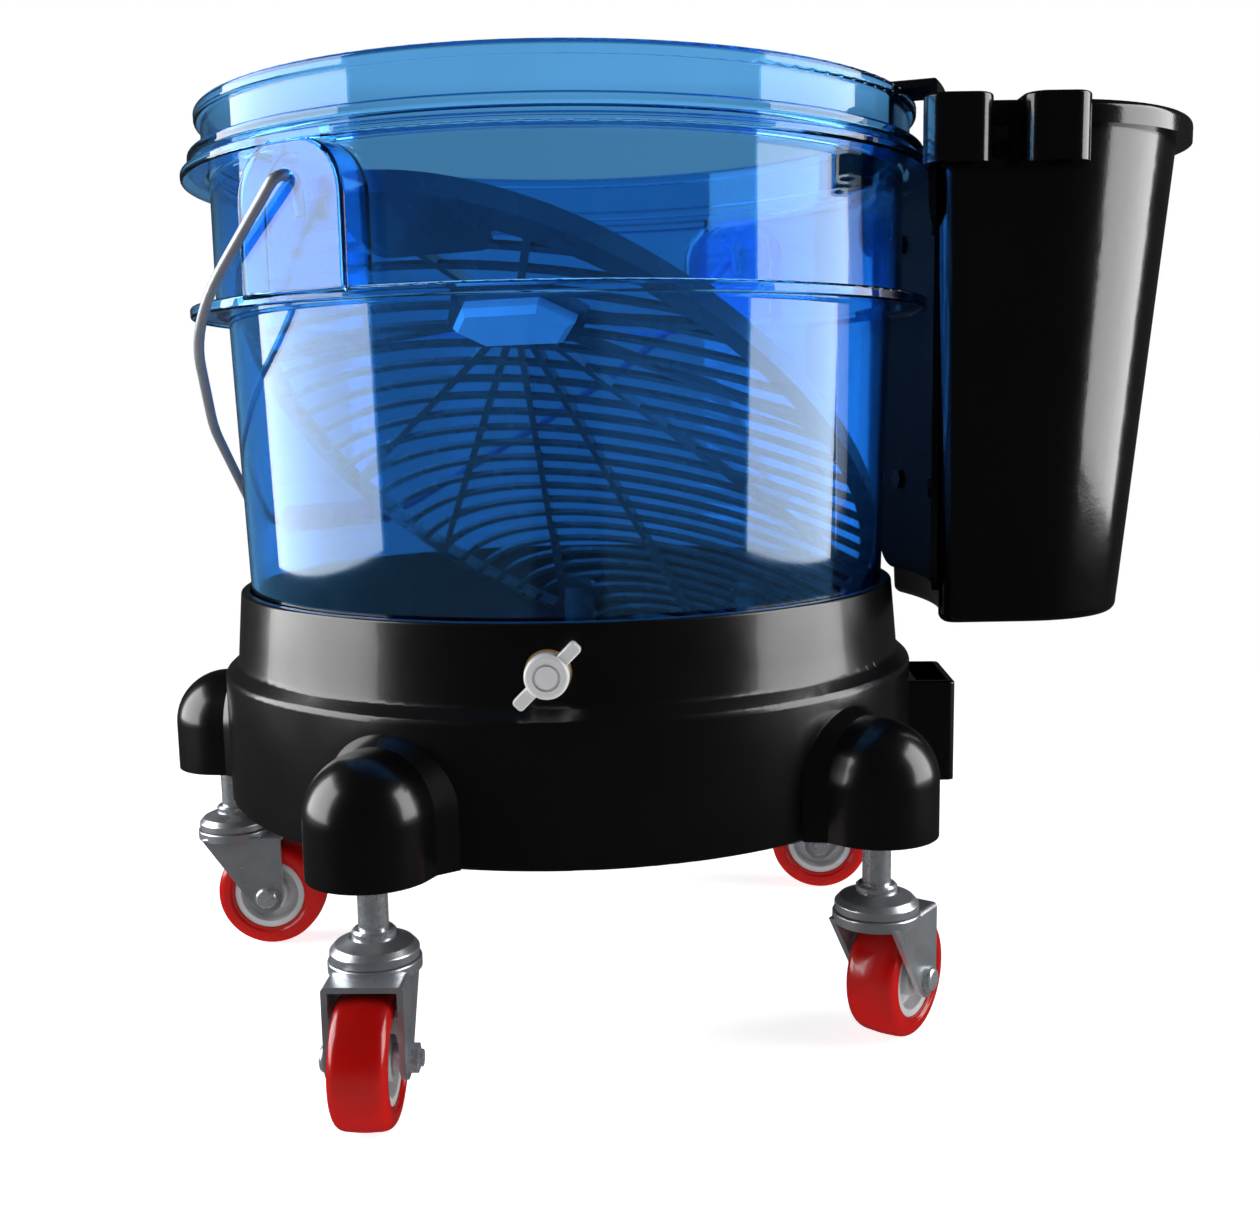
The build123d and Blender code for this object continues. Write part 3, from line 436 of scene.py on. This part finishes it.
class ClampLook(bpy.types.PropertyGroup):
    """Clamp screw in the dolly's collar."""

    knob: FloatVectorProperty(
        name="Knob", description="Colour of the clamp's knob", subtype="COLOR",
        default=(0.75, 0.75, 0.76), min=0.0, max=1.0)
    stud: FloatVectorProperty(
        name="Stud", description="Colour of the clamp's stud", subtype="COLOR",
        default=(0.6, 0.62, 0.65), min=0.0, max=1.0)
    bush: FloatVectorProperty(
        name="Bush", description="Colour of the brass bush in the collar", subtype="COLOR",
        default=(0.62, 0.44, 0.2), min=0.0, max=1.0)
    nose: FloatVectorProperty(
        name="Nose", description="Colour of the nose on the stud's end", subtype="COLOR",
        default=(0.7, 0.71, 0.74), min=0.0, max=1.0)
    pitch: FloatProperty(
        name="Pitch", description="Pitch of the clamp stud's thread", unit="LENGTH",
        default=0.002, min=0.0005, max=0.004)
    thread_depth: FloatProperty(
        name="Thread depth", description="Depth of the clamp stud's thread", unit="LENGTH",
        default=0.0009, min=0.0, max=0.002)


class CaddyLook(bpy.types.PropertyGroup):
    """Side caddy, its hanger and its tool rack."""

    moulding: FloatVectorProperty(
        name="Moulding", description="Colour of the tub, the hanger and the rack", subtype="COLOR",
        default=(0.0015, 0.0015, 0.0017), min=0.0, max=1.0)
    roughness: FloatProperty(
        name="Roughness", description="Blur of the caddy's gloss", subtype="FACTOR",
        default=0.10, min=0.0, max=1.0)
    hanger_dulling: FloatProperty(
        name="Hanger dulling", description="How much more blurred the hanger's gloss is", subtype="FACTOR",
        default=0.4, min=0.0, max=1.0)
    screws: FloatVectorProperty(
        name="Screws", description="Colour of the screws and nuts", subtype="COLOR",
        default=(0.03, 0.03, 0.032), min=0.0, max=1.0)


class StageLook(bpy.types.PropertyGroup):
    """Floor, soft panels and camera."""

    floor: FloatVectorProperty(
        name="Floor", description="Colour of the floor", subtype="COLOR",
        default=(0.93, 0.93, 0.93), min=0.0, max=1.0)
    floor_glow: FloatProperty(
        name="Floor glow", description="Light that the floor gives off by itself",
        default=0.85, min=0.0, max=5.0)
    panel: FloatProperty(
        name="Panel", description="Brightness of the two side panels", default=5.5, min=0.0, max=50.0)
    dim: FloatProperty(
        name="Dim surround", description="Brightness of the surround that lights and mirrors in the object",
        default=0.03, min=0.0, max=5.0)
    ahead: FloatProperty(
        name="Ahead", description="Brightness straight ahead, seen through the clear wall", default=0.35,
        min=0.0, max=5.0)
    aside: FloatProperty(
        name="Aside", description="Brightness to either side, seen through the clear wall", default=0.95,
        min=0.0, max=5.0)
    raised: FloatProperty(
        name="Raised", description="Brightness a little way up, seen through the clear wall", default=0.42,
        min=0.0, max=5.0)
    high: FloatProperty(
        name="High", description="Brightness further up, seen through the clear wall", default=0.75,
        min=0.0, max=5.0)
    lens: FloatProperty(
        name="Lens", description="Focal length on a 36 mm wide sensor, in millimetres", default=40.757,
        min=1.0, max=500.0)
    eye_distance: FloatProperty(
        name="Eye distance", description="Distance of the camera in front of the dolly's axis", unit="LENGTH",
        default=0.64366)
    eye_height: FloatProperty(
        name="Eye height", description="Height of the camera above the floor", unit="LENGTH", default=0.25201)
    pitch: FloatProperty(
        name="Pitch", description="Camera's tilt above the horizon", subtype="ANGLE", default=-0.146069)
    yaw: FloatProperty(
        name="Yaw", description="Camera's turn to the right", subtype="ANGLE", default=0.042586)
    roll: FloatProperty(
        name="Roll", description="Camera's roll about its own axis", subtype="ANGLE", default=-0.016912)


# Pieces


class WASHPAIL_OT_pail(bpy.types.Operator):
    """Copy the pail with a smooth rim and dress it, the bail wire and its grip"""

    bl_idname = "washpail.pail"
    bl_label = "Pail and bail"

    def rim_normals(self, look, corners, normals):
        """Corner normals of the pail, with true ones on the bead of its rim.

        In the plane of radius r and height h, the normal at P on the bead is P - Q, where Q is the nearest
        point of the bead's core, a rectangle that lies one round inside the bead's outline.
        """
        slack = 0.1 * millimetre
        radius = np.hypot(corners[..., 0], corners[..., 1])
        height = corners[..., 2]
        top = height.max()
        bead = height > top - look.bead + slack
        inner, outer = radius[bead].min(), radius[bead].max()
        lowest = np.where(radius < (inner + outer) / 2, 0.0, top - look.bead + look.bead_round)
        out = radius - np.clip(radius, inner + look.bead_round, outer - look.bead_round)
        up = height - np.clip(height, lowest, top - look.bead_round)
        true = np.stack([out * corners[..., 0] / radius, out * corners[..., 1] / radius, up], axis=-1)
        return np.where(bead[..., None], true / look.bead_round, normals)

    def wall(self, look):
        """Copy of the pail whose gloss runs on over the facets of its bead."""
        points, triangles, normals = joined_triangles("pail_shell")
        finish = clear_blue("pail_clear", look)
        piece = add_piece("pail_wall", points, triangles.tolist(), "pail", finish, "pail_shell")
        normals = self.rim_normals(look, points[triangles], normals)
        piece.data.normals_split_custom_set(normals.reshape(-1, 3))

    def execute(self, context):
        look = context.scene.washpail_pail
        self.wall(look)
        dress(bright_plate("bail_plate", tuple(look.wire), roughness=0.32, metal=0.6), "bail_wire")
        dress(moulded_part("grip_moulding", tuple(look.grip), roughness=0.25, coat=0.3), "bail_grip")
        return {"FINISHED"}


class WASHPAIL_OT_screen(bpy.types.Operator):
    """Dress the wash screen and its badge"""

    bl_idname = "washpail.screen"
    bl_label = "Wash screen"

    def execute(self, context):
        look = context.scene.washpail_screen
        dress(moulded_black("screen_moulding", tuple(look.bars), roughness=0.22, coat=0.25), "wash_screen")
        dress(moulded_part("badge_moulding", tuple(look.badge), roughness=0.3, coat=0.3), "screen_badge")
        return {"FINISHED"}


class WASHPAIL_OT_dolly(bpy.types.Operator):
    """Copy the dolly moulding with smooth rounds and dress it"""

    bl_idname = "washpail.dolly"
    bl_label = "Dolly"

    def sharp_edges(self, mesh, angle):
        """Which edges turn by more than an angle in degrees."""
        mesh.set_sharp_from_angle(angle=np.radians(angle))
        sharp = np.empty(len(mesh.edges), bool)
        mesh.edges.foreach_get("use_edge_sharp", sharp)
        return sharp

    def shell(self, look):
        """Copy of the dolly whose gloss runs on over the facets of its rounds.

        A normal is the mean of its faces by area, up to the edges that stay sharp: those past the crease
        angle between the heights where the pods meet the skirt, and past the round angle elsewhere.
        """
        crease_low, crease_high = 0.090, 0.1373
        crease_angle, round_angle = 28.0, 80.0
        points, triangles, _ = joined_triangles("dolly_shell")
        black = moulded_black("dolly_moulding", tuple(look.moulding), look.roughness, coat=0.2)
        faces = triangles.tolist()
        piece = add_piece("dolly_body", points, faces, "dolly", black, "dolly_shell")
        mesh = piece.data
        ends = np.empty(len(mesh.edges) * 2, np.int64)
        mesh.edges.foreach_get("vertices", ends)
        height = points[ends.reshape(-1, 2), 2].mean(axis=1)
        creased = (height > crease_low) & (height < crease_high)
        sharp = np.where(creased, self.sharp_edges(mesh, crease_angle), self.sharp_edges(mesh, round_angle))
        mesh.edges.foreach_set("use_edge_sharp", sharp)
        even = piece.modifiers.new("even_gloss", "WEIGHTED_NORMAL")
        even.mode = "FACE_AREA"
        even.keep_sharp = True

    def execute(self, context):
        self.shell(context.scene.washpail_dolly)
        return {"FINISHED"}


class WASHPAIL_OT_castors(bpy.types.Operator):
    """Turn the tyres and cores of the castor wheels and dress their steel"""

    bl_idname = "washpail.castors"
    bl_label = "Castors"

    def wheel_profile(self, side, rounds, steps):
        """Closed profile in metres from the radius and height of the corners on one side, in millimetres."""
        corners = side + [(radius, -height) for radius, height in reversed(side)]
        return rounded_profile(corners, rounds + rounds[::-1], steps) * millimetre

    def tyre_profile(self, look):
        """Tread with a crowned face, round shoulders and stepped sides."""
        core, tread, half, middle = 16.55, 25.0, 10.5, 1.3
        step_start, step_end = core + 1.3, core + 2.0
        lip = look.tyre_lip / millimetre
        crown = look.tyre_crown / millimetre
        side = [(core, half - lip), (step_start, half - lip), (step_end, half), (tread - crown, half),
                (tread, middle)]
        return self.wheel_profile(side, rounds=[0.15, 0.3, 0.3, 4.6, 1.0], steps=9)

    def core_profile(self):
        """Boss, web and rim of a wheel core with soft edges."""
        bore, boss, rim, outer, half, web = 5.05, 8.0, 13.5, 16.5, 9.0, 3.5
        web_start, web_end = boss + 0.4, rim - 0.5
        side = [(bore, half), (boss, half), (web_start, web), (web_end, web), (rim, half), (outer, half)]
        return self.wheel_profile(side, rounds=[0.2, 0.5, 0.9, 0.9, 0.5, 0.4], steps=6)

    def wheels(self, look):
        """Tyre and core of every castor, turned about its axle."""
        tyre_turns, core_turns = 144, 96
        tread = cast_tread("tread_red", tuple(look.tread))
        core = moulded_part("core_grey", tuple(look.core), roughness=0.35)
        kinds = (
            ("tyre", "wheel_tyre", "tyre_red", tread, self.tyre_profile(look), tyre_turns),
            ("core", "wheel_hub", "hub_grey", core, self.core_profile(), core_turns),
        )
        for number in castor_numbers:
            axle = joints[f"wheel_spin_{number}"]
            for kind, node, slot, finish, profile, turns in kinds:
                points, quads = turned_surface(profile, axle["pos_m"], axle["axis"], turns)
                faces = outward(points, quads).tolist()
                name = f"{kind}_{number}"
                add_piece(name, points, faces, f"wheel_{number}", finish, f"{node}_{number}")

    def execute(self, context):
        look = context.scene.washpail_castors
        self.wheels(look)
        steel = tuple(look.steel)
        bright = bright_plate("castor_plate", steel, roughness=0.22, metal=0.85)
        dress(bright, *per_castor("race_cap"), *per_castor("castor_fork"), "race_balls")
        zinc = zinc_plate("castor_zinc", steel)
        dress(zinc, *per_castor("castor_stem"), *per_castor("castor_axle"), *per_castor("wheel_bush"))
        sleeve = moulded_part("sleeve_moulding", tuple(look.sleeve), roughness=0.4)
        dress(sleeve, *per_castor("stem_sleeve"))
        return {"FINISHED"}


class WASHPAIL_OT_clamp(bpy.types.Operator):
    """Cut the clamp stud's thread and dress the clamp"""

    bl_idname = "washpail.clamp"
    bl_label = "Clamp screw"

    def thread_surface(self, look):
        """Stud with a helical thread.

        The radius at turn angle t and length s is R - D |1 - 2 frac(s / P - t / 2 pi)|, with R the outer
        radius, D the depth and P the pitch. Over the last pitch at both ends the ridge falls to a share of D.
        """
        turns, rows_per_pitch, end_share = 48, 14, 0.35
        turn = joints["clamp_turn"]
        axis = np.asarray(turn["axis"], float)
        low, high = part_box("clamp_stud")
        corners = np.array([[x, y, z] for x in (low.x, high.x) for y in (low.y, high.y)
                            for z in (low.z, high.z)])
        outer = (high.z - low.z) / 2
        middle = (np.asarray(low) + np.asarray(high)) / 2
        reach = np.abs((corners - middle) @ axis).max() - outer * np.abs(axis[0])
        length = np.linspace(-reach, reach, 1 + int(2 * reach / look.pitch * rows_per_pitch))[:, None]
        angle = np.linspace(0.0, 2 * np.pi, turns, endpoint=False)[None, :]
        phase = np.mod(length / look.pitch - angle / (2 * np.pi), 1.0)
        ends = np.clip((reach - np.abs(length)) / look.pitch, end_share, 1.0)
        radius = outer - look.thread_depth * (1 - (1 - np.abs(1 - 2 * phase)) * ends)
        across, up = side_vectors(axis)
        spin = np.cos(angle)[..., None] * across + np.sin(angle)[..., None] * up
        points = middle + length[..., None] * axis + radius[..., None] * spin
        rows = len(length)
        first = list(range(turns))
        last = [(rows - 1) * turns + column for column in range(turns)]
        return points.reshape(-1, 3), ring_quads(rows, turns, False), [first[::-1], last]

    def execute(self, context):
        look = context.scene.washpail_clamp
        zinc = zinc_plate("stud_zinc", tuple(look.stud))
        points, quads, caps = self.thread_surface(look)
        faces = [*outward(points, quads).tolist(), *caps]
        add_piece("clamp_thread", points, faces, "clamp_screw", zinc, "clamp_stud")
        dress(moulded_part("knob_moulding", tuple(look.knob), roughness=0.28, coat=0.3), "clamp_knob")
        dress(bright_plate("bush_brass", tuple(look.bush), roughness=0.25), "clamp_bush")
        dress(bright_plate("nose_plate", tuple(look.nose), roughness=0.2), "clamp_tip")
        return {"FINISHED"}


class WASHPAIL_OT_caddy(bpy.types.Operator):
    """Dress the side caddy, its hanger, its tool rack and their screws"""

    bl_idname = "washpail.caddy"
    bl_label = "Side caddy"

    def execute(self, context):
        look = context.scene.washpail_caddy
        moulding = tuple(look.moulding)
        dress(moulded_black("caddy_moulding", moulding, look.roughness, coat=0.25), "caddy_tub", "tool_rack")
        dull = look.roughness + look.hanger_dulling
        dress(moulded_black("hanger_moulding", moulding, dull, coat=0.0, gloss=0.1), "caddy_hanger")
        screw = bright_plate("screw_black", tuple(look.screws), roughness=0.3)
        dress(screw, "caddy_screws", "caddy_nuts", "rack_screws")
        return {"FINISHED"}


class WASHPAIL_OT_stage(bpy.types.Operator):
    """Lay the floor, hang the soft panels and set the camera"""

    bl_idname = "washpail.stage"
    bl_label = "Stage"

    def panel(self, name, bearing, distance, low, high, width, radiance):
        """Upright soft panel on a bearing in degrees from the front, facing the axis."""
        light = bpy.data.lights.new(name, "AREA")
        light.shape = "RECTANGLE"
        light.size = width
        light.size_y = high - low
        light.energy = radiance * np.pi * width * (high - low)
        lamp = bpy.data.objects.new(name, light)
        turn = np.radians(bearing)
        lamp.location = (distance * np.sin(turn), -distance * np.cos(turn), (low + high) / 2)
        facing = Vector((-np.sin(turn), np.cos(turn), 0.0))
        lamp.rotation_euler = facing.to_track_quat("-Z", "Y").to_euler()
        bpy.context.scene.collection.objects.link(lamp)

    def camera(self, look):
        """Camera at the photograph's place, turned by yaw and pitch and then rolled."""
        forward = Vector((np.sin(look.yaw) * np.cos(look.pitch), np.cos(look.yaw) * np.cos(look.pitch),
                          np.sin(look.pitch)))
        level = Vector((np.cos(look.yaw), -np.sin(look.yaw), 0.0))
        over = level.cross(forward)
        right = level * np.cos(look.roll) + over * np.sin(look.roll)
        up = over * np.cos(look.roll) - level * np.sin(look.roll)
        data = bpy.data.cameras.new("camera")
        data.sensor_fit = "HORIZONTAL"
        data.sensor_width = 36.0
        data.lens = look.lens
        data.clip_start = 0.01
        eye = bpy.data.objects.new("camera", data)
        turn = Matrix((right, up, -forward)).transposed().to_4x4()
        eye.matrix_world = Matrix.Translation((0.0, -look.eye_distance, look.eye_height)) @ turn
        bpy.context.scene.collection.objects.link(eye)
        bpy.context.scene.camera = eye

    def floor(self, look):
        """Pale disc of rings just under the wheels, which turns clear with distance."""
        sides, drop = 64, 0.2 * millimetre
        clear_start, clear_end = 0.3, 0.9
        rings = np.array([0.0, 0.5, 2.0, 8.0, 30.0])[:, None]
        angle = np.linspace(0.0, 2 * np.pi, sides, endpoint=False)[None, :]
        points = np.stack(np.broadcast_arrays(rings * np.cos(angle), rings * np.sin(angle), -drop), axis=-1)
        mesh = bpy.data.meshes.new("floor")
        mesh.from_pydata(points.reshape(-1, 3), [], ring_quads(len(rings), sides, False).tolist())
        pale = tuple(look.floor)
        glow = {"Emission Color": pale, "Emission Strength": look.floor_glow}
        finish = Finish("floor_pale", Roughness=0.9, **glow)
        finish.tone(finish.noise(scale=3.0), pale, dark=0.98, light=1.0)
        reach = finish.node("ShaderNodeVectorMath", {"operation": "LENGTH"}, {0: finish.place})
        clear = finish.spread(Term(finish, reach.outputs["Value"]), clear_start, clear_end)
        finish.feed(finish.shader.inputs["Alpha"], 1 - clear)
        mesh.materials.append(finish.material)
        ground = bpy.data.objects.new("floor", mesh)
        ground.visible_glossy = False
        bpy.context.scene.collection.objects.link(ground)

    def surround(self, look):
        """White surround behind the object, a dim one for its gloss, and one of bands for its clear wall.

        Through the clear wall the surround is dull straight ahead, bright to either side, and rises in two
        steps with height.
        """
        aside_start, aside_end = 0.185, 0.225
        raised_start, raised_end = 0.04, 0.14
        high_start, high_end = 0.185, 0.21
        white, cool = (1.0, 1.0, 1.0), 1.05
        world = bpy.data.worlds.new("studio")
        sky = Shading(world)
        path = sky.node("ShaderNodeLightPath", {}, {}).outputs
        ray = sky.node("ShaderNodeTexCoord", {}, {}).outputs["Generated"]
        way = sky.node("ShaderNodeSeparateXYZ", {}, {0: ray}).outputs
        sideways = abs(Term(sky, way["X"]))
        level = sky.spread(sideways, aside_start, aside_end, look.ahead, look.aside)
        raised = sky.spread(way["Z"], raised_start, raised_end, level, look.raised)
        strength = sky.spread(way["Z"], high_start, high_end, raised, look.high)
        dim = sky.node("ShaderNodeBackground", {}, {"Color": (look.dim, look.dim, look.dim * cool)})
        through = sky.node("ShaderNodeBackground", {}, {"Color": white, "Strength": strength})
        seen = sky.node("ShaderNodeBackground", {}, {"Color": white})
        behind = sky.either(path["Is Transmission Ray"], dim, through)
        whole = sky.either(path["Is Camera Ray"], behind, seen)
        sky.node("ShaderNodeOutputWorld", {}, {"Surface": whole.outputs[0]})
        bpy.context.scene.world = world

    def execute(self, context):
        look = context.scene.washpail_stage
        self.surround(look)
        context.scene.view_settings.view_transform = "Standard"
        self.floor(look)
        distance, low, high = 1.1, 0.04, 1.1
        for name, bearing, width in (("panel_left", -88.0, 1.1), ("panel_right", 79.0, 0.78)):
            self.panel(name, bearing, distance, low, high, width, look.panel)
        self.camera(look)
        return {"FINISHED"}


class WASHPAIL_PT_panel(bpy.types.Panel):
    """Lists the pieces and their settings"""

    bl_label = "Wash pail"
    bl_idname = "WASHPAIL_PT_panel"
    bl_space_type = "VIEW_3D"
    bl_region_type = "UI"
    bl_category = "Wash pail"

    def draw(self, context):
        for operator, name, _ in pieces:
            box = self.layout.box()
            box.operator(operator.bl_idname)
            look = getattr(context.scene, name)
            for setting in look.__annotations__:
                box.prop(look, setting)


pieces = (
    (WASHPAIL_OT_pail, "washpail_pail", PailLook),
    (WASHPAIL_OT_screen, "washpail_screen", ScreenLook),
    (WASHPAIL_OT_dolly, "washpail_dolly", DollyLook),
    (WASHPAIL_OT_castors, "washpail_castors", CastorLook),
    (WASHPAIL_OT_clamp, "washpail_clamp", ClampLook),
    (WASHPAIL_OT_caddy, "washpail_caddy", CaddyLook),
    (WASHPAIL_OT_stage, "washpail_stage", StageLook),
)


def register():
    """Add the settings, the operators and the panel to Blender."""
    for operator, name, group in pieces:
        bpy.utils.register_class(group)
        setattr(bpy.types.Scene, name, PointerProperty(type=group))
        bpy.utils.register_class(operator)
    bpy.utils.register_class(WASHPAIL_PT_panel)


def unregister():
    """Take them out again."""
    bpy.utils.unregister_class(WASHPAIL_PT_panel)
    for operator, name, group in reversed(pieces):
        bpy.utils.unregister_class(operator)
        delattr(bpy.types.Scene, name)
        bpy.utils.unregister_class(group)


def main():
    """Register the add-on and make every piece."""
    register()
    bpy.ops.washpail.pail()
    bpy.ops.washpail.screen()
    bpy.ops.washpail.dolly()
    bpy.ops.washpail.castors()
    bpy.ops.washpail.clamp()
    bpy.ops.washpail.caddy()
    bpy.ops.washpail.stage()


if __name__ == "__main__":
    main()
